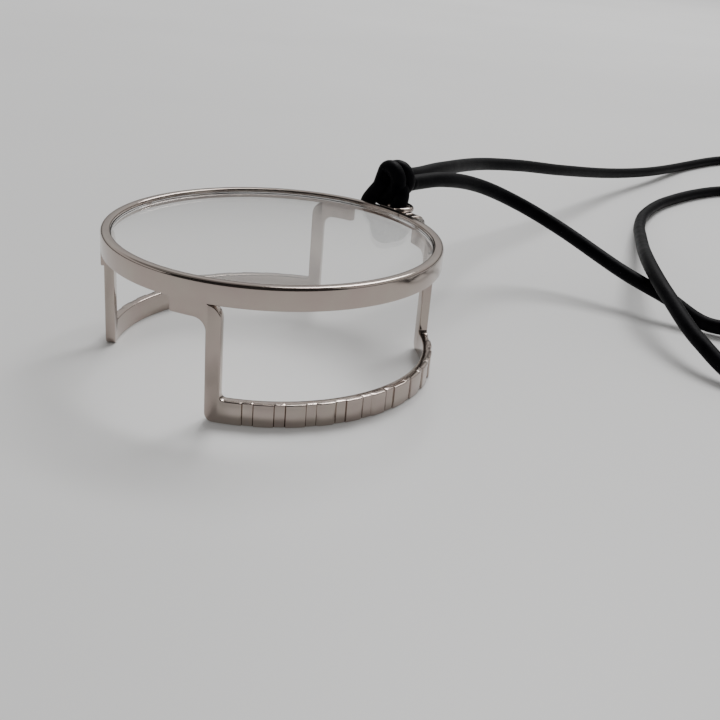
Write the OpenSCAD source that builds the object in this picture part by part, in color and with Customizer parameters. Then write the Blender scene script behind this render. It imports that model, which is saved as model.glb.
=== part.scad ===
// A monocle that stands on its two galleries, with its cord.
// Millimetres, +Z up, the table at z = 0, the lens axis on the Z axis.

/* [Rim] */
// Outside diameter of the rim
rim_d = 42; // [41:0.25:43]
// Height of the rim's band
rim_h = 2.7; // [2.5:0.1:3]
// Thickness of the band and of the galleries
rim_t = 1.2; // [1.1:0.05:1.3]
// Height of the band's underside above the table
rim_z = 13.9; // [13:0.1:15]
// Rounding of the outer top edge
rim_round = 0.4; // [0.2:0.05:0.5]
// Rounding of the inner top edge
lip_round = 0.2; // [0.1:0.05:0.3]
// Depth of the groove that holds the lens
groove_depth = 0.45; // [0.35:0.05:0.6]

/* [Lens] */
// Thickness at the edge
lens_edge = 1.8; // [1.5:0.05:1.9]
// Height of the upper dome
lens_top_sag = 0.4; // [0.2:0.05:0.45]
// Height of the hollow underneath
lens_under_sag = 0.4; // [0.2:0.05:0.45]
// Gap between the lens and the band, on the radius
lens_gap = 0.1; // [0.05:0.01:0.15]

/* [Galleries] */
// Height of the strip at the table
strip_h = 2.8; // [2.4:0.1:3.4]
// Width of a leg
leg_w = 1.75; // [1.6:0.05:2]
// Height of a foot under the band
foot_h = 1.7; // [1.4:0.1:2]
// Length of a foot beyond its leg
foot_l = 4.5; // [3.6:0.1:5]
// Hollow rounding between foot and leg
foot_fillet = 1.5; // [1:0.1:2]
// Rounding of a leg's upper corner, under the band
leg_round = 1.6; // [1:0.1:1.6]
// Rounding of a leg's lower corner, at the table
corner_round = 1; // [0.6:0.1:1.5]
// Hollow rounding between leg and strip
strip_fillet = 0.5; // [0.3:0.1:1]
// Middle of the front gallery's first leg, degrees
front_from = -107; // [-110:0.5:-104]
// Middle of the front gallery's last leg, degrees
front_to = 9.5; // [7:0.5:12]
// Middle of the rear gallery's first leg, degrees
rear_from = 72.5; // [71:0.5:76]
// Middle of the rear gallery's last leg, degrees
rear_to = 177; // [174:0.5:180]

/* [Fluting] */
// Width of a pressed-in panel
flute_w = 1.25; // [1:0.05:1.5]
// Width of the plain panel between two pressed-in ones
flute_gap = 2.35; // [2:0.05:2.7]
// Depth of a pressed-in panel
flute_depth = 0.15; // [0.1:0.01:0.2]
// Width of the scored line at a panel's edge
line_w = 0.14; // [0.1:0.01:0.2]
// Depth of the scored line below the panel
line_depth = 0.1; // [0.05:0.01:0.15]
// Middle of the front gallery's first leg to the first line
front_lead = 3.48; // [3.3:0.05:4]
// Least plain length between the last panel and the last leg
flute_end = 0.5; // [0.4:0.05:0.8]

/* [Closing block] */
// Place of the saw cut round the rim, degrees
block_a = 33.5; // [30:0.5:34]
// Width of the saw cut
cut_w = 0.2; // [0.1:0.05:0.3]
// Length of each lug along the rim
lug_l = 1.2; // [1:0.05:1.3]
// Diameter of the lugs' rounded outer end
lug_d = 2.2; // [2:0.1:2.4]
// Distance of the screw from the rim's outer face
screw_out = 1.3; // [1.2:0.05:1.4]
// Diameter of the screw's shank
screw_d = 1; // [0.8:0.05:1.1]
// Diameter of the screw's head
head_d = 1.8; // [1.5:0.1:2]
// Height of the screw's head
head_h = 0.7; // [0.5:0.05:0.8]
// Running gap round the shank
screw_gap = 0.04; // [0.02:0.01:0.08]

/* [Cord eye] */
// Thickness of the eye's wire
eye_wire = 0.9; // [0.8:0.05:1]
// Gap between the eye and the cord, on the radius
eye_gap = 0.3; // [0.25:0.05:0.4]
// Place of the eye round the rim, degrees
eye_a = 43; // [43:0.5:46]

/* [Cord] */
// Thickness of the cord
cord_d = 2.2; // [2:0.05:2.3]
// Gap between turns of the put-away coil
coil_gap = 0.48; // [0.45:0.01:0.6]
// Radius of the coil's inmost turn
coil_in = 8.2; // [8:0.1:9]

/* [Hidden] */
$fn = 96;
rim_r = rim_d / 2;
rim_in = rim_r - rim_t;
rim_top = rim_z + rim_h;
mid_z = rim_z + rim_h / 2;
groove_r = rim_in + groove_depth;
lens_r = rim_in - lens_gap;
lens_bevel_r = groove_r - 0.7 * lens_gap;
lens_top_r = (pow(lens_r, 2) + pow(lens_top_sag, 2)) / (2 * lens_top_sag);
lens_under_r = (pow(lens_r, 2) + pow(lens_under_sag, 2)) / (2 * lens_under_sag);

// Degrees that a length takes up on the rim's outer face
function span(l) = l / rim_r * 180 / PI;
flute_pitch = flute_w + flute_gap;
rear_arc = (rear_to - rear_from) * PI / 180 * rim_r;
front_arc = (front_to - front_from) * PI / 180 * rim_r;
front_n = floor((front_arc - front_lead - flute_w - leg_w / 2 - flute_end) / flute_pitch) + 1;
rear_n = floor((rear_arc - leg_w - 8 * flute_end - flute_w) / flute_pitch) + 1;
rear_lead = (rear_arc - (rear_n - 1) * flute_pitch - flute_w) / 2;

eye_loop = (cord_d + eye_wire) / 2 + eye_gap;
eye_r = rim_r + eye_loop + eye_wire / 2 - 0.2;
eye_z = rim_top - eye_wire / 2;

// Middle of the knot, and the way its turns face
knot_a = 47.5;
knot = [(rim_r + 3.5) * cos(knot_a), (rim_r + 3.5) * sin(knot_a), rim_top + 3.1];
lie = cord_d / 2 + 0.02;

// Bight of the cord through the eye, from the eye's middle: out from the rim, along it, up
bight = [[0.9, 0.5, 2.8], [0.1, 0, 1.5], [0, 0, -0.2], [0.1, 0.3, -2.2], [0.4, 2.4, -3.9],
    [0.8, 4.6, -3.3], [1.2, 5.5, -1.2], [1.4, 4.9, 1], [1.4, 3.4, 2.8]];

// Cord from the knot, out of the picture, back in and away to the coil
reach_route = [knot + [0.2, 2.1, 0.2], [20, 25, 19.2], [25.2, 34.3, 18.3], [35.6, 54.4, 14.8],
    [45.5, 65.4, 12.4], [56.9, 77.5, 9.4], [74.2, 97.9, 5], [89.3, 113.6, 2.6], [106.5, 131.9, lie],
    [124, 143, lie], [139, 141, lie], [137, 124, lie], [120, 110, lie], [101, 103.3, lie],
    [85.1, 90.3, lie], [76.4, 78.1, lie], [70.6, 64.7, 1.5], [64.3, 45.1, 4], [57.8, 27, 7.8],
    [57, 13.1, 6.4], [58.4, 2, 3.6], [62.5, -6, 1.3]];

// Cord from the coil back to the knot
return_route = [[65.6, 14.4, 1.4], [59.8, 20.2, 3.6], [54.6, 26, 5.3], [46.2, 34.3, 9.2],
    [39.3, 36.3, 12.4], [31.6, 32.5, 15.9], [24.4, 24.6, 18.4], knot + [2, 0.2, -0.6]];

coil_at = [95, -15];
coil_turns = 4.55;
coil_start = 230;
coil_rings = 24;
coil_pitch = cord_d + coil_gap;

function unit(v) = v / norm(v);
function clampi(i, n) = max(0, min(n - 1, i));
// Smooth curve through the route points, with k steps from point to point
function curve(p, k) = concat(
    [for (i = [0:len(p) - 2]) for (j = [0:k - 1])
        let (a = p[clampi(i - 1, len(p))], b = p[i], c = p[i + 1], d = p[clampi(i + 2, len(p))], t = j / k)
        b + t * (c - a) / 2 + t * t * (a - 2.5 * b + 2 * c - d / 2) + t * t * t * (1.5 * (b - c) + (d - a) / 2)],
    [p[len(p) - 1]]);
// The same curve, nowhere lower than a cord that lies on the table
function laid(p) = [for (q = p) [q[0], q[1], max(q[2], lie)]];
function way(p, i) = unit(p[clampi(i + 1, len(p))] - p[clampi(i - 1, len(p))]);
function hoop(p, i, d, n, up) =
    let (t = way(p, i), s = unit(cross(t, up)), v = cross(s, t))
    [for (k = [0:n - 1]) p[i] + d / 2 * (cos(360 * k / n) * s + sin(360 * k / n) * v)];

// Coil: spirals in on the table, climbs a layer at the inmost turn and spirals out again
function coil_height(t) = let (q = max(0, min(1, (t - coil_turns / 2) * 2 + 0.5))) lie + coil_pitch * q;
function coil_point(t) = let (r = coil_in + coil_pitch * abs(t - coil_turns / 2), a = coil_start + 360 * t)
    [coil_at[0] + r * cos(a), coil_at[1] + r * sin(a), coil_height(t)];
coil_way_in = unit([-sin(coil_start), cos(coil_start), 0]);
coil_out_a = coil_start + 360 * coil_turns;
coil_way_out = unit([-sin(coil_out_a), cos(coil_out_a), 0]);
coil_first = coil_point(0);
coil_last = coil_point(coil_turns);
coil_n = floor(coil_turns * coil_rings);
coil_path = concat(
    [coil_first - cord_d * coil_way_in, coil_first - cord_d / 2 * coil_way_in],
    [for (i = [0:coil_n]) coil_point(coil_turns * i / coil_n)],
    [coil_last + cord_d / 2 * coil_way_out, coil_last + cord_d * coil_way_out]);
coil_tail_in = coil_path[0];
coil_tail_out = coil_path[len(coil_path) - 1];

// Least gap between turns that are half a turn or more apart
coil_free = min([for (i = [0:coil_n]) for (j = [i + 12:1:coil_n])
    norm(coil_point(coil_turns * i / coil_n) - coil_point(coil_turns * j / coil_n))]) - cord_d;
echo("least gap in the coil", coil_free);

steel = [0.72, 0.7, 0.68];
black = [0.06, 0.06, 0.07];

// Body of one round cord along a path, closed at both ends
module tube(path, d, n, up) {
    rings = len(path);
    polyhedron(
        points = [for (i = [0:rings - 1]) for (q = hoop(path, i, d, n, up)) q],
        faces = concat(
            [[for (k = [n - 1:-1:0]) k]],
            [for (i = [0:rings - 2]) for (k = [0:n - 1]) [i * n + k, (i + 1) * n + (k + 1) % n, (i + 1) * n + k]],
            [for (i = [0:rings - 2]) for (k = [0:n - 1]) [i * n + k, i * n + (k + 1) % n, (i + 1) * n + (k + 1) % n]],
            [[for (k = [0:n - 1]) (rings - 1) * n + k]]),
        convexity = 10);
}

// Rim: one formed band, grooved inside for the lens and cut once at the closing block
module band_section() {
    difference() {
        union() {
            translate([rim_in, rim_z])
                square([rim_t, rim_h - rim_round]);
            translate([rim_in, rim_z])
                square([rim_t - rim_round, rim_h - lip_round]);
            translate([rim_in + lip_round, rim_z])
                square([rim_t - rim_round - lip_round, rim_h]);
            translate([rim_r - rim_round, rim_top - rim_round])
                circle(rim_round);
            translate([rim_in + lip_round, rim_top - lip_round])
                circle(lip_round);
        }
        polygon([[groove_r, mid_z], [rim_in - 0.2, mid_z + groove_depth + 0.2],
            [rim_in - 0.2, mid_z - groove_depth - 0.2]]);
    }
}

module eyewire() {
    color(steel)
    difference() {
        rotate_extrude()
            band_section();
        rotate([0, 0, block_a])
            translate([rim_in - 1, -cut_w / 2, rim_z - 1])
            cube([rim_t + 2, cut_w, rim_h + 2]);
    }
}

// Lens: shallow dome above, shallow hollow below, bevelled edge in the rim's groove
module lens_section() {
    difference() {
        intersection() {
            translate([0, mid_z - lens_edge / 2])
                square([lens_r, lens_edge + lens_top_sag]);
            translate([0, mid_z + lens_edge / 2 + lens_top_sag - lens_top_r])
                circle(lens_top_r, $fn = 2000);
        }
        translate([0, mid_z - lens_edge / 2 + lens_under_sag - lens_under_r])
            circle(lens_under_r, $fn = 2000);
    }
    polygon([[lens_r - 0.5, mid_z - 0.4], [lens_r, mid_z - lens_bevel_r + lens_r], [lens_bevel_r, mid_z],
        [lens_r, mid_z + lens_bevel_r - lens_r], [lens_r - 0.5, mid_z + 0.4]]);
}

module lens() {
    color([0.85, 0.9, 0.92, 0.4])
    rotate_extrude()
        lens_section();
}

// End of a gallery, laid out flat: the strip goes off to +x, the foot to -x
module gallery_end() {
    h = leg_w / 2;
    difference() {
        union() {
            translate([-h, 0])
                square([leg_w, rim_z]);
            translate([-h - foot_l, rim_z - foot_h])
                square([foot_l + h, foot_h]);
            difference() {
                translate([-h - foot_fillet, rim_z - foot_h - foot_fillet])
                    square([foot_fillet + 0.1, foot_fillet + 0.1]);
                translate([-h - foot_fillet, rim_z - foot_h - foot_fillet])
                    circle(foot_fillet);
            }
            difference() {
                translate([h - 0.1, strip_h - 0.1])
                    square([strip_fillet + 0.1, strip_fillet + 0.1]);
                translate([h + strip_fillet, strip_h + strip_fillet - 0.04])
                    circle(strip_fillet);
            }
        }
        difference() {
            translate([-h - 1, -1])
                square([corner_round + 1, corner_round + 1]);
            translate([corner_round - h, corner_round])
                circle(corner_round);
        }
        difference() {
            translate([h - leg_round, rim_z - leg_round])
                square([leg_round + 1, leg_round + 1]);
            translate([h - leg_round, rim_z - leg_round])
                circle(leg_round);
        }
    }
}

// The same end stood up across the X axis, thicker than the band
module raised_end() {
    translate([rim_in - 2, 0, 0])
        rotate([90, 0, 90])
        linear_extrude(rim_t + 3)
        gallery_end();
}

// Gallery: one strip cut like a hat, rolled to the rim's curve and soldered up under it
module gallery(from, to, lead, count) {
    start = span(leg_w / 2 - 0.06);
    difference() {
        intersection() {
            translate([0, 0, -1])
                cylinder(r = rim_r, h = rim_z + 2);
            difference() {
                union() {
                    rotate([0, 0, from + start])
                        rotate_extrude(angle = to - from - 2 * start)
                        translate([rim_in - 1, 0])
                        square([rim_t + 2, strip_h]);
                    rotate([0, 0, from])
                        raised_end();
                    rotate([0, 0, to])
                        mirror([0, 1, 0])
                        raised_end();
                }
                translate([0, 0, -1])
                    cylinder(r = rim_in, h = rim_z + 2);
            }
        }
        for (i = [0:count - 1]) {
            rotate([0, 0, from + span(lead + i * flute_pitch)])
                rotate_extrude(angle = span(flute_w))
                translate([rim_r - flute_depth, -1])
                square([2, strip_h + 2]);
            for (e = [0, flute_w])
                rotate([0, 0, from + span(lead + i * flute_pitch + e)])
                translate([rim_r - flute_depth - line_depth, -line_w / 2, -1])
                cube([2, line_w, strip_h + 2]);
        }
    }
}

module front_gallery() {
    color(steel)
    gallery(front_from, front_to, front_lead, front_n);
}

module rear_gallery() {
    color(steel)
    gallery(rear_from, rear_to, rear_lead, rear_n);
}

// Closing block: two lugs soldered beside the saw cut, drawn together by one screw.
// In its frame x points out from the rim, y up and z clockwise along the rim.
module at_block() {
    rotate([0, 0, block_a])
        translate([rim_r + screw_out, 0, mid_z])
        rotate([90, 0, 0])
        children();
}

module lug(bore) {
    difference() {
        union() {
            cylinder(d = lug_d, h = lug_l);
            translate([-screw_out - 0.5, -lug_d / 2, 0])
                cube([screw_out + 0.5, lug_d, lug_l]);
        }
        translate([0, 0, -1])
            cylinder(d = bore, h = lug_l + 2);
    }
}

module clear_lug() {
    color(steel)
    difference() {
        at_block()
            translate([0, 0, cut_w / 2])
            lug(screw_d + 2 * screw_gap);
        cylinder(r = rim_r, h = rim_top + 5);
    }
}

module threaded_lug() {
    color(steel)
    difference() {
        at_block()
            translate([0, 0, -cut_w / 2 - lug_l])
            lug(screw_d + screw_gap);
        cylinder(r = rim_r, h = rim_top + 5);
    }
}

// Closing screw: low rounded head with a slot, plain where it is clear and threaded at its end
module closing_screw() {
    color([0.6, 0.58, 0.56])
    at_block()
        difference() {
            union() {
                translate([0, 0, -cut_w / 2 - lug_l - 0.15])
                    cylinder(d = screw_d, h = 2 * lug_l + cut_w + 0.4);
                intersection() {
                    translate([0, 0, cut_w / 2 + lug_l + screw_gap])
                        cylinder(d = head_d, h = head_h);
                    translate([0, 0, cut_w / 2 + lug_l + screw_gap + head_h - head_d * 0.8])
                        sphere(d = head_d * 1.6);
                }
            }
            translate([-head_d, -0.14, cut_w / 2 + lug_l + screw_gap + head_h - 0.3])
                cube([2 * head_d, 0.28, 1]);
        }
}

// Cord eye: a wire ring that lies flat against the rim's outer face, with its solder
module cord_eye() {
    color(steel)
    difference() {
        rotate([0, 0, eye_a])
            translate([eye_r, 0, eye_z])
            union() {
                rotate_extrude()
                    translate([eye_loop, 0])
                    circle(d = eye_wire);
                translate([-eye_loop - eye_wire / 2, -1.3, -eye_wire / 2])
                    cube([eye_wire - 0.1, 2.6, eye_wire]);
            }
        cylinder(r = rim_r, h = rim_top + 5);
    }
}

// Knot: two turns of the cord drawn tight over both strands, and the bight through the eye
module cord_knot() {
    color(black) {
        translate(knot)
            rotate([0, 101, 48])
            rotate_extrude($fn = 24)
            union() {
                translate([1.45, 0.98])
                    circle(d = cord_d, $fn = 24);
                translate([1.45, -0.98])
                    circle(d = cord_d, $fn = 24);
                translate([0, -1.6])
                    square([1.6, 3.2]);
            }
        rotate([0, 0, eye_a])
            translate([eye_r, 0, eye_z])
            tube(curve(bight, 3), cord_d, 8, [1, 0, 0]);
    }
}

// Cord laid out in free stretches, and the rest of it put away in a coil
module cord_reach() {
    color(black)
    tube(laid(curve(concat(reach_route, [coil_tail_in - 8 * coil_way_in, coil_tail_in]), 3)), cord_d, 8, [0, 0, 1]);
}

module cord_coil() {
    color(black)
    tube(coil_path, cord_d, 6, [0, 0, 1]);
}

module cord_return() {
    color(black)
    tube(laid(curve(concat([coil_tail_out, coil_tail_out + 8 * coil_way_out], return_route), 2)), cord_d, 8,
        [0, 0, 1]);
}

eyewire();
lens();
front_gallery();
rear_gallery();
clear_lug();
threaded_lug();
closing_screw();
cord_eye();
cord_knot();
cord_reach();
cord_coil();
cord_return();
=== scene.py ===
import math
import bmesh
import bpy
from mathutils import Matrix, Vector


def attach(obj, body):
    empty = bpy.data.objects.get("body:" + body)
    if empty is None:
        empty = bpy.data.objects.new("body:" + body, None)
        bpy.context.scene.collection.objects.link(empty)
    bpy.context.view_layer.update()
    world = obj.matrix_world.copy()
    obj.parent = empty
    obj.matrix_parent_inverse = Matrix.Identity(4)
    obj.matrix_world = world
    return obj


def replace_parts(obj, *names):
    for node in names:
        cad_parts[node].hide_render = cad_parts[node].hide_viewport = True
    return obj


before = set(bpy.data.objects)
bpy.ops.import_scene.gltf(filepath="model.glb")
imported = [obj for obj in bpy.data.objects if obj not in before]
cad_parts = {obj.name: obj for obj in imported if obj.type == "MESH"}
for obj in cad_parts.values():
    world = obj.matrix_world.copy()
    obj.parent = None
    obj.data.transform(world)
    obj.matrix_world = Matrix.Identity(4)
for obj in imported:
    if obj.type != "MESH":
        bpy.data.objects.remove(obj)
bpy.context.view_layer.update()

# Camera
# A normal lens close to the monocle, a little above it and tipped to the right, as the picture was taken.
# The picture is square; the tip also takes up the slight lean that the real monocle stands with.
MM = 0.001
yaw, down, tip = math.radians(5.68), math.radians(23.69), math.radians(4.97)
ahead = Vector((math.sin(yaw) * math.cos(down), math.cos(yaw) * math.cos(down), -math.sin(down)))
level = Vector((math.cos(yaw), -math.sin(yaw), 0))
above = level.cross(ahead)
side = level * math.cos(tip) + above * math.sin(tip)
top = above * math.cos(tip) - level * math.sin(tip)
camera = bpy.data.objects.new("camera", bpy.data.cameras.new("camera"))
camera.data.lens = 50
camera.data.sensor_width = 36
camera.data.clip_start, camera.data.clip_end = 0.005, 20
CAMERA_AT = Vector((0, -0.120, 0.05246))
turned_to = Matrix((side, top, -ahead)).transposed().to_4x4()
camera.matrix_world = Matrix.Translation(CAMERA_AT) @ turned_to
bpy.context.scene.collection.objects.link(camera)
bpy.context.scene.camera = camera

# Neck cord
# One round black cord of waxed silk, a neck loop whose two strands end in the knot at the eye.
# It falls from the knot to the table and turns back outside the picture; the rest of it lies in a coil
# at the right.
CORD = 2.2 * MM
# Height of its middle line where it lies on the table
LIE = CORD / 2 + 0.02 * MM
KNOT = Vector((16.552, 18.063, 19.7)) * MM


def point(x, y, z=LIE / MM):
    """A place in millimetres, on the table unless a height is given."""
    return Vector((x, y, z)) * MM


# From the knot out of the picture, round and back into it, and over the other strand to the coil
reach = [KNOT + point(0.2, 2.1, 0), point(20, 25, 18.75), point(25.2, 34.3, 17.75),
         point(35.6, 54.4, 14.6), point(45.5, 65.4, 12.4), point(56.9, 77.5, 9.4),
         point(74.2, 97.9, 5), point(89.3, 113.6, 2.6), point(106.5, 131.9), point(124, 143),
         point(139, 141), point(137, 124), point(120, 110), point(101, 103.3), point(85.1, 90.3),
         point(76.4, 78.1, 1.35), point(70.6, 64.7, 2.3), point(66.1, 51.2, 3.9),
         point(61.86, 38, 5.65), point(58.86, 28, 7.05), point(57.41, 20.5, 7.2),
         point(57, 13.1, 6.4), point(58.4, 2, 3.6), point(62.5, -6, 1.3)]
# From the coil back to the knot
back = [point(65.6, 14.4, 1.4), point(59.8, 20.2, 3.6), point(54.6, 26, 5.3), point(46.2, 34.3, 9.2),
        point(39.3, 36.3, 12.4), point(31.6, 32.5, 15.9), point(24.4, 24.6, 18.4),
        KNOT + point(2, 0.2, -0.6)]

# The coil spirals in on the table, climbs a layer at its inmost turn and spirals out on top.
COIL_AT, COIL_TURNS, COIL_START = Vector((95, -15, 0)) * MM, 4.55, 230
COIL_PITCH, COIL_IN, COIL_STEPS = 2.68 * MM, 8.2 * MM, 76
# Length of the straight stretch before the coil and after it
TAIL = 8 * MM


def coil_point(turn):
    """A place on the coil, so many turns from its start."""
    reach_out = COIL_IN + COIL_PITCH * abs(turn - COIL_TURNS / 2)
    at = math.radians(COIL_START + 360 * turn)
    climb = max(0, min(1, (turn - COIL_TURNS / 2) * 2 + 0.5))
    height = LIE + COIL_PITCH * climb
    return COIL_AT + Vector((reach_out * math.cos(at), reach_out * math.sin(at), height))


def coil_way(degrees):
    """The way the cord runs at this angle of the coil."""
    return Vector((-math.sin(math.radians(degrees)), math.cos(math.radians(degrees)), 0))


way_in, way_out = coil_way(COIL_START), coil_way(COIL_START + 360 * COIL_TURNS)
tail_in, tail_out = coil_point(0) - way_in * CORD, coil_point(COIL_TURNS) + way_out * CORD
coil = [coil_point(COIL_TURNS * i / COIL_STEPS) for i in range(COIL_STEPS + 1)]
cord_line = (reach + [tail_in - way_in * TAIL, tail_in] + coil
             + [tail_out, tail_out + way_out * TAIL] + back)


def cord_piece(name, line, sides, floor=None):
    """A cord along a smooth line through the points, kept level where it would dip below the floor."""
    curve = bpy.data.curves.new(name, "CURVE")
    curve.dimensions = "3D"
    curve.bevel_depth = CORD / 2
    curve.bevel_resolution = sides // 2
    curve.use_fill_caps = True
    curve.resolution_u = 12
    curve.use_radius = False
    spline = curve.splines.new("BEZIER")
    spline.bezier_points.add(len(line) - 1)
    for i, spot in enumerate(spline.bezier_points):
        before, here, after = line[max(i - 1, 0)], line[i], line[min(i + 1, len(line) - 1)]
        pull = after - before
        if floor is not None and here.z - abs(pull.z) / 6 < floor:
            pull.z = 0
        spot.handle_left_type = spot.handle_right_type = "FREE"
        spot.co = here
        spot.handle_left = here - pull.normalized() * (here - before).length / 3
        spot.handle_right = here + pull.normalized() * (after - here).length / 3
    piece = bpy.data.objects.new(name, curve)
    bpy.context.scene.collection.objects.link(piece)
    return piece


def new_material(name):
    """A new material with its nodes, its links and its shader."""
    material = bpy.data.materials.new(name)
    material.use_nodes = True
    nodes, links = material.node_tree.nodes, material.node_tree.links
    shader = next(n for n in nodes if n.type == "BSDF_PRINCIPLED")
    return material, nodes, links, shader


def patterned(nodes, links, kind, scale, **more):
    """A pattern node that reads the object's own coordinates."""
    where = nodes.new("ShaderNodeTexCoord")
    pattern = nodes.new(kind)
    links.new(where.outputs["Object"], pattern.inputs["Vector"])
    pattern.inputs["Scale"].default_value = scale
    for key, value in more.items():
        pattern.inputs[key].default_value = value
    return pattern


def ramp(nodes, links, source, low, high, start=0.35, end=0.65):
    """A colour ramp between two colours, driven by a pattern."""
    ramp_node = nodes.new("ShaderNodeValToRGB")
    first, last = ramp_node.color_ramp.elements
    first.position, first.color = start, (*low, 1)
    last.position, last.color = end, (*high, 1)
    links.new(source, ramp_node.inputs["Fac"])
    return ramp_node.outputs["Color"]


def bump(nodes, links, source, shader, strength, distance):
    """Relief from a pattern, its depth in metres."""
    relief = nodes.new("ShaderNodeBump")
    relief.inputs["Strength"].default_value = strength
    relief.inputs["Distance"].default_value = distance
    links.new(source, relief.inputs["Height"])
    links.new(relief.outputs["Normal"], shader.inputs["Normal"])


def rough(nodes, links, source, shader, low, high):
    """Roughness between two values, driven by a pattern."""
    spread = nodes.new("ShaderNodeMapRange")
    spread.inputs["To Min"].default_value = low
    spread.inputs["To Max"].default_value = high
    links.new(source, spread.inputs["Value"])
    links.new(spread.outputs["Result"], shader.inputs["Roughness"])


# Black silk with hardly any shine, uneven wax and fine fibres
waxed, nodes, links, shader = new_material("waxed_silk")
fibres = patterned(nodes, links, "ShaderNodeTexNoise", 2600, Detail=4, Roughness=0.6)
wax = patterned(nodes, links, "ShaderNodeTexNoise", 420, Detail=3)
links.new(ramp(nodes, links, wax.outputs["Fac"], (0.001, 0.001, 0.002), (0.004, 0.004, 0.005)),
          shader.inputs["Base Color"])
rough(nodes, links, wax.outputs["Fac"], shader, 0.38, 0.62)
bump(nodes, links, fibres.outputs["Fac"], shader, 0.6, 0.08 * MM)
shader.inputs["Specular IOR Level"].default_value = 0.06
shader.inputs["Specular Tint"].default_value = (0.42, 0.42, 0.45, 1)

cord = cord_piece("neck_cord", cord_line, sides=14, floor=LIE)
cord.data.materials.append(waxed)

# The knot: one strand winds twice about the core, runs down at the left, passes under the eye's wire,
# comes up through the eye and leaves through the core as the other strand.
EYE = Vector((16.894, 15.754, 16.15)) * MM
# The eye's angle round the rim, in degrees, and the knot's middle from it: out, along and up
EYE_AT = 43
KNOT_OUT, KNOT_ALONG, KNOT_UP = 1.33, 1.92, 3.55


def at_eye(out, along, up):
    """A place from the eye's middle: out from the rim, along it and up, in millimetres."""
    turn = math.radians(EYE_AT)
    return EYE + Vector((out * math.cos(turn) - along * math.sin(turn),
                         out * math.sin(turn) + along * math.cos(turn), up)) * MM


def in_knot(out, along, up):
    """A place from the knot's middle, in the same directions."""
    return at_eye(KNOT_OUT + out, KNOT_ALONG + along, KNOT_UP + up)


# How far the knot's two ends run on inside the cord's two strands
OVERLAP = 0.9
knot_line = [reach[0] + (reach[1] - reach[0]).normalized() * OVERLAP * MM, reach[0],
             in_knot(1.2, 0.9, -1.1), in_knot(1, -0.6, -1.4), in_knot(0.8, -1.5, -0.1),
             in_knot(0.6, -0.6, 1.3), in_knot(0.3, 0.9, 1.2), in_knot(0, 1.7, 0),
             in_knot(-0.5, 2.2, -1.6), in_knot(-0.9, 1.6, -2.9), in_knot(-1.1, -0.4, -2.2),
             in_knot(-1.2, -1.5, -0.1), in_knot(-1.2, -0.7, 1.35), in_knot(-1.1, 0.7, 1.4),
             at_eye(0.1, 3.1, 3.8), at_eye(-0.3, 3.3, 2.4), at_eye(-0.7, 4.1, 1.1),
             at_eye(-0.95, 4.75, -0.2), at_eye(-0.8, 4.6, -1.4), at_eye(-0.4, 3.4, -2.05),
             at_eye(-0.1, 1.7, -1.95), at_eye(0, 0.4, -1.2), at_eye(0, 0, -0.1), at_eye(0.3, -0.2, 1),
             at_eye(0.8, 0.2, 2.2), in_knot(0.3, -0.4, -0.3),
             back[-1], back[-1] + (back[-2] - back[-1]).normalized() * OVERLAP * MM]
knot = cord_piece("cord_knot_tied", knot_line, sides=20)
knot.data.materials.append(waxed)
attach(cord, "frame")
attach(knot, "frame")
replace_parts(cord, "cord_reach", "cord_coil", "cord_return")
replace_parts(knot, "cord_knot")

# Rim
# The eyewire: one band of nickel silver, drawn with a groove inside for the lens, bent to a ring and
# polished. It is cut once, at the closing block, so that it can be opened to put the lens in.
RIM, RIM_IN = 21.0, 19.8
BAND_LOW, BAND_TOP = 13.9, 16.6
GROOVE = 0.45
TOP_ROUND, INNER_ROUND, LOW_ROUND = 0.4, 0.2, 0.12
# The cut's angle round the rim, in degrees, and its width
CUT_AT, CUT = 33.5, 0.2


def arc(cx, cy, radius, start, end, count):
    """Points on an arc, in the plane of a section."""
    angles = [math.radians(start + (end - start) * i / count) for i in range(count + 1)]
    return [(cx + radius * math.cos(a), cy + radius * math.sin(a)) for a in angles]


def spun(name, section, start, sweep, count):
    """A closed section of (distance from the axis, height), turned round the lens axis."""
    mesh = bmesh.new()
    ring = [mesh.verts.new((r * MM, 0, z * MM)) for r, z in section]
    for i, vert in enumerate(ring):
        mesh.edges.new((vert, ring[(i + 1) % len(ring)]))
    bmesh.ops.rotate(mesh, verts=mesh.verts, cent=(0, 0, 0),
                     matrix=Matrix.Rotation(math.radians(start), 3, "Z"))
    whole = sweep == 360
    first = list(mesh.edges)
    made = bmesh.ops.spin(mesh, geom=list(mesh.verts) + first, cent=(0, 0, 0), axis=(0, 0, 1),
                          angle=math.radians(sweep), steps=count, use_merge=whole, use_duplicate=False)
    if not whole:
        last = [e for e in made["geom_last"] if isinstance(e, bmesh.types.BMEdge)]
        for rim_edges in (first, last):
            bmesh.ops.contextual_create(mesh, geom=rim_edges)
    return finished(name, mesh)


def finished(name, mesh, sharp=40):
    """The mesh as an object at the origin, closed, facing outwards and smooth up to the given angle."""
    bmesh.ops.remove_doubles(mesh, verts=mesh.verts, dist=1e-7)
    bmesh.ops.recalc_face_normals(mesh, faces=mesh.faces)
    for face in mesh.faces:
        face.smooth = True
    for edge in mesh.edges:
        edge.smooth = not edge.is_manifold or edge.calc_face_angle(0) < math.radians(sharp)
    data = bpy.data.meshes.new(name)
    mesh.to_mesh(data)
    mesh.free()
    piece = bpy.data.objects.new(name, data)
    bpy.context.scene.collection.objects.link(piece)
    return piece


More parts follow.
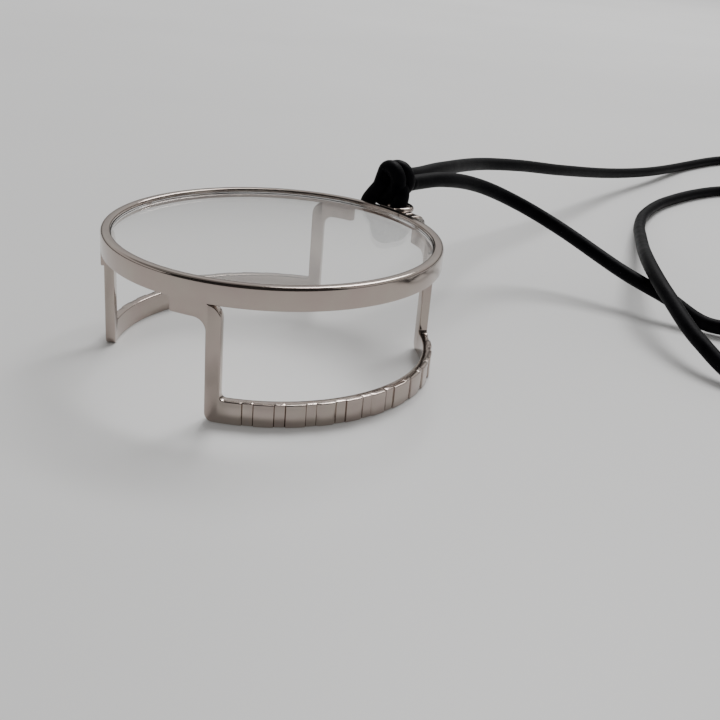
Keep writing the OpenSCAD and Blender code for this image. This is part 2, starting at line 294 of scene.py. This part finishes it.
# Polished nickel silver, faintly warm, with a little tarnish, scuffs and soft waves
nickel, nodes, links, shader = new_material("polished_nickel")
shader.inputs["Metallic"].default_value = 1
tarnish = patterned(nodes, links, "ShaderNodeTexNoise", 260, Detail=5, Roughness=0.6)
DULL, BRIGHT = (0.44, 0.362, 0.332), (0.465, 0.41, 0.362)
links.new(ramp(nodes, links, tarnish.outputs["Fac"], DULL, BRIGHT, 0.3, 0.7), shader.inputs["Base Color"])
scuffs = patterned(nodes, links, "ShaderNodeTexNoise", 900, Detail=6, Roughness=0.7)
rough(nodes, links, scuffs.outputs["Fac"], shader, 0.06, 0.2)
waves = patterned(nodes, links, "ShaderNodeTexNoise", 330, Detail=2)
bump(nodes, links, waves.outputs["Fac"], shader, 0.12, 0.02 * MM)

groove_mid = (BAND_LOW + BAND_TOP) / 2
rim_section = (arc(RIM - TOP_ROUND, BAND_TOP - TOP_ROUND, TOP_ROUND, 0, 90, 8)
               + arc(RIM_IN + INNER_ROUND, BAND_TOP - INNER_ROUND, INNER_ROUND, 90, 180, 5)
               + [(RIM_IN, groove_mid + GROOVE), (RIM_IN + GROOVE, groove_mid),
                  (RIM_IN, groove_mid - GROOVE)]
               + arc(RIM_IN + LOW_ROUND, BAND_LOW + LOW_ROUND, LOW_ROUND, 180, 270, 3)
               + arc(RIM - LOW_ROUND, BAND_LOW + LOW_ROUND, LOW_ROUND, 270, 360, 3))
half_cut = math.degrees(CUT / 2 / RIM)
rim = spun("rim", rim_section, CUT_AT + half_cut, 360 - 2 * half_cut, 320)
rim.data.materials.append(nickel)
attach(rim, "frame")
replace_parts(rim, "eyewire")

# Lens
# One disc of clear crown glass, 1.8 mm thick, ground to a shallow dome above and a like hollow below.
# Its edge is bevelled to a ridge that sits in the rim's groove.
LENS, LENS_THICK = 19.7, 1.8
EDGE_TOP, EDGE_LOW = groove_mid + LENS_THICK / 2, groove_mid - LENS_THICK / 2
RIDGE = 0.38
DOME, HOLLOW = 0.4, 0.4


def cap(height, rise, count):
    """Points of a shallow cap from its edge to the axis."""
    return [(LENS * i / count, height + rise * (1 - (i / count) ** 2)) for i in range(count, -1, -1)]


lens_section = cap(EDGE_TOP, DOME, 16) + cap(EDGE_LOW, HOLLOW, 16)[::-1] + [
    (LENS, groove_mid - RIDGE), (LENS + RIDGE, groove_mid), (LENS, groove_mid + RIDGE)]
lens = spun("lens_disc", lens_section, 0, 360, 192)
# Clear glass with faint wipe marks
glass, nodes, links, shader = new_material("lens_glass")
shader.inputs["Transmission Weight"].default_value = 1
shader.inputs["IOR"].default_value = 1.52
shader.inputs["Base Color"].default_value = (0.998, 1, 0.998, 1)
wipes = patterned(nodes, links, "ShaderNodeTexNoise", 120, Detail=4)
rough(nodes, links, wipes.outputs["Fac"], shader, 0.0, 0.02)
lens.data.materials.append(glass)
lens.visible_shadow = False
lens.visible_diffuse = False
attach(lens, "frame")
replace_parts(lens, "lens")

# Galleries
# Two flat strips of the same metal, cut like a hat, scored and pressed with narrow upright panels on the
# outside, rolled to the rim's curve and soldered up under the band by their feet.
THICK = 1.2
STRIP, LEG, FOOT_HIGH, FOOT_LONG = 2.8, 1.75, 1.7, 4.5
# Rounding of the strip's inner corner, of the leg under the band, of the foot and of the leg at the table
STRIP_ROUND, LEG_ROUND, FOOT_ROUND, CORNER_ROUND = 0.5, 1.6, 1.5, 1
# How far the feet reach up into the band, where on the leg that starts, and the outer face's step in
SOLDER, SOLDER_START, INSIDE = 0.13, 1.7, 0.003
# Width, spacing and depth of the panels, and the same for the scored line on each side of them
PANEL, PANEL_STEP, PANEL_DEEP, LINE, LINE_DEEP = 1.25, 3.6, 0.14, 0.13, 0.08
# Spacing of the cuts that let the plain stretches bend, how far they stay from the first panel, and how
# deep into the wall the pressing reaches
CUT_STEP, CUT_CLEAR, PRESS_DEPTH = 0.4, 0.2, 0.6
# Edges that turn by more than this, in radians, are softened by this much
SHARP, SOFT_EDGE = 1.2, 0.12


def hat_end():
    """Outline of a gallery's first end, from the strip's top to its underside; 0 is the leg's middle."""
    half = LEG / 2
    foot_low = BAND_LOW - FOOT_HIGH
    return (arc(half + STRIP_ROUND, STRIP + STRIP_ROUND, STRIP_ROUND, 270, 180, 5)
            + arc(half - LEG_ROUND, BAND_LOW - LEG_ROUND, LEG_ROUND, 0, 90, 12)
            + [(half - SOLDER_START, BAND_LOW + SOLDER), (-half - FOOT_LONG, BAND_LOW + SOLDER),
               (-half - FOOT_LONG, foot_low)]
            + arc(-half - FOOT_ROUND, foot_low - FOOT_ROUND, FOOT_ROUND, 90, 0, 8)
            + arc(CORNER_ROUND - half, CORNER_ROUND, CORNER_ROUND, 180, 270, 10))


def gallery(name, start, end, lead, panels):
    """A gallery from one leg's angle to the other's, with so many panels, the first so far along it."""
    long = math.radians(end - start) * RIM
    first = hat_end()
    outline = first + [(long - u, z) for u, z in reversed(first)]
    mesh = bmesh.new()
    face = mesh.faces.new([mesh.verts.new((u, 0, z)) for u, z in outline])
    cuts = set()
    edges = []
    for i in range(panels):
        for edge in (lead + i * PANEL_STEP, lead + i * PANEL_STEP + PANEL):
            edges.append(edge)
            cuts.update((edge - LINE / 2, edge, edge + LINE / 2))
        cuts.update(lead + i * PANEL_STEP + PANEL * k / 4 for k in (1, 2, 3))
        cuts.update(lead + i * PANEL_STEP + PANEL + (PANEL_STEP - PANEL) * k / 6
                    for k in (1, 2, 3, 4, 5))
    u = -LEG / 2 - FOOT_LONG + CUT_STEP
    while u < long + LEG / 2 + FOOT_LONG:
        if u < lead - CUT_CLEAR or u > lead + panels * PANEL_STEP:
            cuts.add(u)
        u += CUT_STEP
    made = bmesh.ops.extrude_face_region(mesh, geom=list(mesh.faces))
    inner = [v for v in made["geom"] if isinstance(v, bmesh.types.BMVert)]
    bmesh.ops.translate(mesh, vec=(0, THICK, 0), verts=inner)
    bmesh.ops.recalc_face_normals(mesh, faces=mesh.faces)
    corners = [e for e in mesh.edges if e.is_manifold and e.calc_face_angle(0) > SHARP
               and abs(e.verts[0].co.y - e.verts[1].co.y) < 1e-6
               and min(v.co.z for v in e.verts) < BAND_LOW - 1e-3]
    bmesh.ops.bevel(mesh, geom=corners, offset=SOFT_EDGE, offset_type="OFFSET", affect="EDGES",
                    segments=3, profile=0.5, material=-1, clamp_overlap=True)
    for u in sorted(cuts):
        bmesh.ops.bisect_plane(mesh, geom=list(mesh.verts) + list(mesh.edges) + list(mesh.faces),
                               dist=1e-5, plane_co=(u, 0, 0), plane_no=(1, 0, 0))

    def pressed(u):
        """How deep the outer face is pressed in at this place along the strip."""
        deep = 0.0
        for i in range(panels):
            low = lead + i * PANEL_STEP
            if low - LINE / 2 < u < low + PANEL + LINE / 2:
                deep = PANEL_DEEP
        for edge in edges:
            if abs(u - edge) < LINE / 2:
                deep = max(deep, PANEL_DEEP + LINE_DEEP * (1 - abs(u - edge) / (LINE / 2)))
        return deep

    for vert in mesh.verts:
        u, y, z = vert.co
        reach_out = RIM - INSIDE - y - pressed(u) * max(0, 1 - y / PRESS_DEPTH)
        at = math.radians(start) + u / RIM
        vert.co = Vector((reach_out * math.cos(at), reach_out * math.sin(at), z)) * MM
    piece = finished(name, mesh, 32)
    piece.data.materials.append(nickel)
    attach(piece, "frame")
    return piece


front = gallery("front_gallery_piece", -107, 9.5, 3.48, 11)
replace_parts(front, "front_gallery")
rear = gallery("rear_gallery_piece", 72.5, 177, 4.125, 9)
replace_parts(rear, "rear_gallery")

# Closing block and screw
# Two short lugs of the same metal soldered on each side of the cut, rounded at their outer ends.
# A small slotted screw of turned steel draws them together; it turns on its own body.
LUG_HALF, LUG_LONG, LUG_SOLDER, LUG_BEVEL, SCREW_OUT = 1.1, 1.2, 0.1, 0.1, 1.3
# Radius of the shank, of the head and of the head's dome, the dome's first angle, and the head's height
SHANK, HEAD, HEAD_DOME, DOME_START, HEAD_HIGH = 0.5, 0.9, 1.44, 51.3, 0.7
# Half the slot's width, its depth, the bevels, and how far the end stands out of its lug
SLOT, SLOT_DEEP, TIP_BEVEL, HEAD_BEVEL, TIP_OUT = 0.14, 0.3, 0.1, 0.06, 0.15
# Play under the head and in the clear lug; the threaded one has half of it
PLAY = 0.04
# Place of the lugs and the screw: the screw's axis runs along the rim, across the cut
BLOCK = (Matrix.Rotation(math.radians(CUT_AT), 4, "Z")
         @ Matrix.Translation((RIM + SCREW_OUT, 0, groove_mid))
         @ Matrix.Rotation(math.radians(90), 4, "X"))


def placed(name, mesh, place, sharp=40):
    """The mesh, made in millimetres, moved to its place on the rim."""
    bmesh.ops.transform(mesh, matrix=Matrix.Scale(MM, 4) @ place, verts=mesh.verts)
    return finished(name, mesh, sharp)


def lug_outline(degrees, bore):
    """The lug's outline and its bore, each as a point in the same direction from the bore's middle."""
    x, y = math.cos(math.radians(degrees)), math.sin(math.radians(degrees))
    far = LUG_HALF if x >= 0 else min(LUG_HALF / max(abs(y), 1e-6), (SCREW_OUT + LUG_SOLDER) / abs(x))
    return (far * x, far * y), (bore * x, bore * y)


def lug(name, near, bore):
    """A lug from the given height along the screw, with a bore of the given radius."""
    mesh = bmesh.new()
    corner = math.degrees(math.atan2(LUG_HALF, -SCREW_OUT - LUG_SOLDER))
    angles = sorted(set([i * 7.5 for i in range(48)] + [corner, 360 - corner]))
    loops = []
    for z in (near, near + LUG_LONG):
        pairs = [lug_outline(a, bore) for a in angles]
        loops.append(([mesh.verts.new((*outer, z)) for outer, inner in pairs],
                      [mesh.verts.new((*inner, z)) for outer, inner in pairs]))
    (low_out, low_in), (high_out, high_in) = loops
    for i in range(len(angles)):
        k = (i + 1) % len(angles)
        for quad in ((low_out, low_in), (high_out, high_in), (low_out, high_out), (low_in, high_in)):
            mesh.faces.new((quad[0][i], quad[0][k], quad[1][k], quad[1][i]))
    bmesh.ops.recalc_face_normals(mesh, faces=mesh.faces)
    rims = [e for e in mesh.edges if e.calc_face_angle(0) > SHARP
            and abs(e.verts[0].co.z - e.verts[1].co.z) < 1e-6]
    bmesh.ops.bevel(mesh, geom=rims, offset=LUG_BEVEL, offset_type="OFFSET", affect="EDGES",
                    segments=3, profile=0.5, material=-1, clamp_overlap=True)
    piece = placed(name, mesh, BLOCK)
    piece.data.materials.append(nickel)
    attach(piece, "frame")
    return piece


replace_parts(lug("clear_lug_piece", CUT / 2, SHANK + PLAY), "clear_lug")
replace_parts(lug("threaded_lug_piece", -CUT / 2 - LUG_LONG, SHANK + PLAY / 2), "threaded_lug")

# Turned steel with fine tool marks
steel, nodes, links, shader = new_material("screw_steel")
shader.inputs["Metallic"].default_value = 1
turned = patterned(nodes, links, "ShaderNodeTexNoise", 1500, Detail=4)
links.new(ramp(nodes, links, turned.outputs["Fac"], (0.32, 0.3, 0.28), (0.45, 0.43, 0.41)),
          shader.inputs["Base Color"])
rough(nodes, links, turned.outputs["Fac"], shader, 0.2, 0.38)
bump(nodes, links, turned.outputs["Fac"], shader, 0.15, 0.01 * MM)

under_head = CUT / 2 + LUG_LONG + PLAY
screw_tip = -CUT / 2 - LUG_LONG - TIP_OUT
head_top = under_head + HEAD_HIGH
mesh = bmesh.new()
profile = [(0, screw_tip), (SHANK - TIP_BEVEL, screw_tip), (SHANK, screw_tip + TIP_BEVEL),
           (SHANK, under_head), (HEAD - HEAD_BEVEL, under_head), (HEAD, under_head + HEAD_BEVEL)]
profile += arc(0, head_top - HEAD_DOME, HEAD_DOME, DOME_START, 90, 8)
line = [mesh.verts.new((x, 0, z)) for x, z in profile]
for i in range(len(line) - 1):
    mesh.edges.new((line[i], line[i + 1]))
bmesh.ops.spin(mesh, geom=list(mesh.verts) + list(mesh.edges), cent=(0, 0, 0), axis=(0, 0, 1),
               angle=math.tau, steps=48, use_merge=True, use_duplicate=False)
bmesh.ops.remove_doubles(mesh, verts=mesh.verts, dist=1e-5)
# The slot: the head is cut along its two walls and its floor, the waste taken out and the walls closed
slot_floor = head_top - SLOT_DEEP
for at, way in (((0, SLOT, 0), (0, 1, 0)), ((0, -SLOT, 0), (0, 1, 0)), ((0, 0, slot_floor), (0, 0, 1))):
    bmesh.ops.bisect_plane(mesh, geom=list(mesh.verts) + list(mesh.edges) + list(mesh.faces), dist=1e-6,
                           plane_co=at, plane_no=way)
gone = [f for f in mesh.faces
        if abs(f.calc_center_median().y) < SLOT and f.calc_center_median().z > slot_floor]
bmesh.ops.delete(mesh, geom=gone, context="FACES")
open_edge = {v for e in mesh.edges if e.is_boundary for v in e.verts}
for side_y in (SLOT, -SLOT):
    wall = sorted((v for v in open_edge if abs(v.co.y - side_y) < 1e-5), key=lambda v: v.co.x)
    mesh.faces.new(wall)
ends = [sorted((v for v in open_edge if abs(v.co.z - slot_floor) < 1e-5 and v.co.x * way_x > 0),
               key=lambda v: v.co.y * way_x) for way_x in (1, -1)]
mesh.faces.new(ends[0] + ends[1])
screw = placed("closing_screw_turned", mesh, BLOCK, 30)
screw.data.materials.append(steel)
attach(screw, "screw")
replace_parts(screw, "closing_screw")

# Cord eye
# A ring of wire of the same metal, laid flat against the outside of the rim beside the closing block.
# It is flooded with solder where it touches, and the cord is tied through it.
EYE_LOOP, EYE_WIRE = 1.85, 0.45
FLOOD, FLOOD_OUT, FLOOD_ROUND = (0.75, 2.7, 0.9), 0.12, 0.2
mesh = bmesh.new()
hoop = bmesh.ops.create_circle(mesh, segments=20, radius=EYE_WIRE)["verts"]
bmesh.ops.rotate(mesh, verts=hoop, cent=(0, 0, 0), matrix=Matrix.Rotation(math.radians(90), 3, "X"))
bmesh.ops.translate(mesh, verts=hoop, vec=(EYE_LOOP, 0, 0))
bmesh.ops.spin(mesh, geom=list(mesh.verts) + list(mesh.edges), cent=(0, 0, 0), axis=(0, 0, 1),
               angle=math.tau, steps=64, use_merge=True, use_duplicate=False)
solder = bmesh.ops.create_cube(mesh, size=1)["verts"]
bmesh.ops.scale(mesh, vec=FLOOD, verts=solder)
bmesh.ops.translate(mesh, vec=(-EYE_LOOP - FLOOD_OUT, 0, 0), verts=solder)
solder_edges = list({e for v in solder for e in v.link_edges})
bmesh.ops.bevel(mesh, geom=solder_edges, offset=FLOOD_ROUND, offset_type="OFFSET", affect="EDGES",
                segments=3, profile=0.5, material=-1, clamp_overlap=True)
eye_place = Matrix.Translation(EYE / MM) @ Matrix.Rotation(math.radians(EYE_AT), 4, "Z")
eye = placed("cord_eye_ring", mesh, eye_place, 60)
eye.data.materials.append(nickel)
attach(eye, "frame")
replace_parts(eye, "cord_eye")

# Table and light
# A plain pale table in a pale room, with soft light from a window at the back right and from the walls.
# A dark card stands behind the camera, where only reflections find it.
TABLE_HALF = 6
table = bpy.data.objects.new("table", bpy.data.meshes.new("table"))
sheet = bmesh.new()
bmesh.ops.create_grid(sheet, x_segments=1, y_segments=1, size=TABLE_HALF)
sheet.to_mesh(table.data)
sheet.free()
bpy.context.scene.collection.objects.link(table)
card, nodes, links, shader = new_material("table_top")
cloud = patterned(nodes, links, "ShaderNodeTexNoise", 6, Detail=3)
links.new(ramp(nodes, links, cloud.outputs["Fac"], (0.78, 0.78, 0.78), (0.82, 0.82, 0.82)),
          shader.inputs["Base Color"])
shader.inputs["Roughness"].default_value = 0.5
table.data.materials.append(card)

world = bpy.data.worlds.new("room")
bpy.context.scene.world = world
world.use_nodes = True
nodes, links = world.node_tree.nodes, world.node_tree.links
heading = nodes.new("ShaderNodeTexCoord")
split = nodes.new("ShaderNodeSeparateXYZ")
links.new(heading.outputs["Generated"], split.inputs["Vector"])


def fade(source, low, high):
    """0 below the first value and 1 above the second, with a smooth step between."""
    step = nodes.new("ShaderNodeMapRange")
    step.interpolation_type = "SMOOTHSTEP"
    step.inputs["From Min"].default_value, step.inputs["From Max"].default_value = low, high
    links.new(source, step.inputs["Value"])
    return step.outputs["Result"]


def product(one, other):
    """Two values multiplied together."""
    times = nodes.new("ShaderNodeMath")
    times.operation = "MULTIPLY"
    links.new(one, times.inputs[0])
    links.new(other, times.inputs[1])
    return times.outputs["Value"]


def blended(amount, low, high):
    """A colour between two others, each of them a colour or another node's output."""
    mixed = nodes.new("ShaderNodeMix")
    mixed.data_type = "RGBA"
    links.new(amount, mixed.inputs["Factor"])
    for socket, colour in (("A", low), ("B", high)):
        if isinstance(colour, tuple):
            mixed.inputs[socket].default_value = (*colour, 1)
        else:
            links.new(colour, mixed.inputs[socket])
    return mixed.outputs["Result"]


# Dim below, bright along the walls, darker at the ceiling, and lighter again at the right of it
BELOW, WALL = (0.6, 0.585, 0.575), (2.6, 2.58, 2.54)
CEILING, WINDOW_SIDE = (1, 0.99, 0.975), (1.9, 1.88, 1.84)
to_right, to_top = split.outputs["X"], split.outputs["Z"]
walls = blended(fade(to_top, 0.12, 0.36), BELOW, WALL)
ceiling = blended(fade(to_top, 0.5, 0.65), walls, CEILING)
right_part = product(fade(to_right, -0.1, 0.2), fade(to_top, 0.5, 0.6))
lit = blended(right_part, ceiling, WINDOW_SIDE)
links.new(lit, nodes["Background"].inputs["Color"])
nodes["Background"].inputs["Strength"].default_value = 0.26

# The card's two ends, and its foot, its fold and its upper edge. It draws the black line along the
# rim's rounded edge.
CARD_ENDS = (-1.7, 0.6)
CARD_FOLDS = ((-0.5, 0), (-0.5, 1.2), (0.06, 1.2))
screen = bpy.data.objects.new("dark_screen", bpy.data.meshes.new("dark_screen"))
sheet = bmesh.new()
folds = [[sheet.verts.new((x, y, z)) for x in CARD_ENDS] for y, z in CARD_FOLDS]
for low, high in zip(folds, folds[1:]):
    sheet.faces.new((low[0], low[1], high[1], high[0]))
sheet.to_mesh(screen.data)
sheet.free()
bpy.context.scene.collection.objects.link(screen)
felt, nodes, links, shader = new_material("screen_felt")
shader.inputs["Base Color"].default_value = (0.02, 0.018, 0.017, 1)
shader.inputs["Roughness"].default_value = 1
screen.data.materials.append(felt)
screen.visible_camera = False
screen.visible_shadow = False
screen.visible_diffuse = False

WINDOW_AT, WINDOW_WIDE, WINDOW_HIGH, WINDOW_POWER = Vector((0.43, 0.84, 1.17)), 0.8, 0.65, 16.8
lamp = bpy.data.lights.new("window", "AREA")
lamp.shape = "RECTANGLE"
lamp.size, lamp.size_y = WINDOW_WIDE, WINDOW_HIGH
lamp.energy = WINDOW_POWER
window = bpy.data.objects.new("window", lamp)
window.location = WINDOW_AT
window.rotation_euler = (-WINDOW_AT).to_track_quat("-Z", "Y").to_euler()
bpy.context.scene.collection.objects.link(window)
